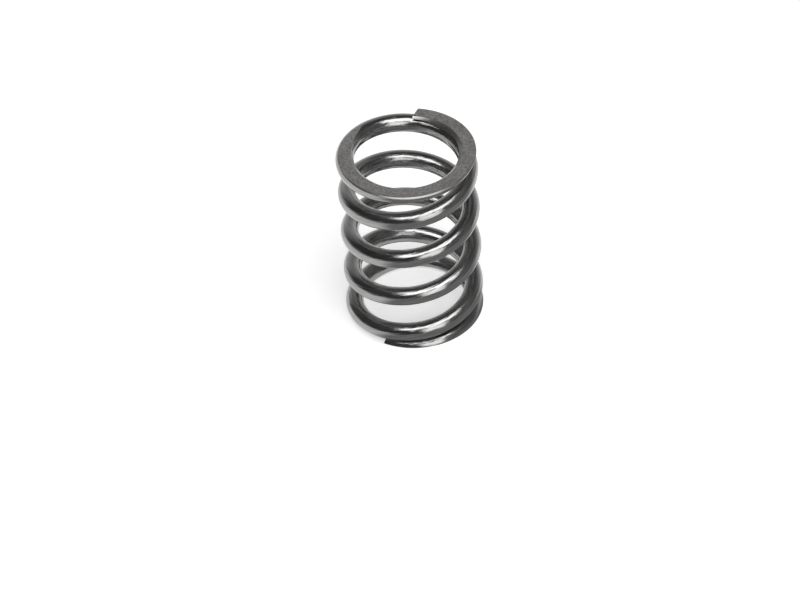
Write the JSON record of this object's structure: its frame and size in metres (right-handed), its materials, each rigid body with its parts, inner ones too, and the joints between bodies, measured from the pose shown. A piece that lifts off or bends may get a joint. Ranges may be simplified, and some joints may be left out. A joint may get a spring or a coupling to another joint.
{
  "type": "engine valve spring",
  "caption": "Right-hand helical compression spring of round wire that closes an engine valve, with closed end turns ground flat.",
  "frame": {"origin": "on the coil axis, at the lower ground face", "axes": "+Z along the coil axis, from the lower ground face to the upper one"},
  "size_m": [0.032, 0.032, 0.046],
  "materials": {
    "spring_steel": "dark oil-tempered drawn wire, with matt ground ends"
  },
  "bodies": {
    "root": {"valve_spring": "spring_steel"}
  },
  "joints": []
}
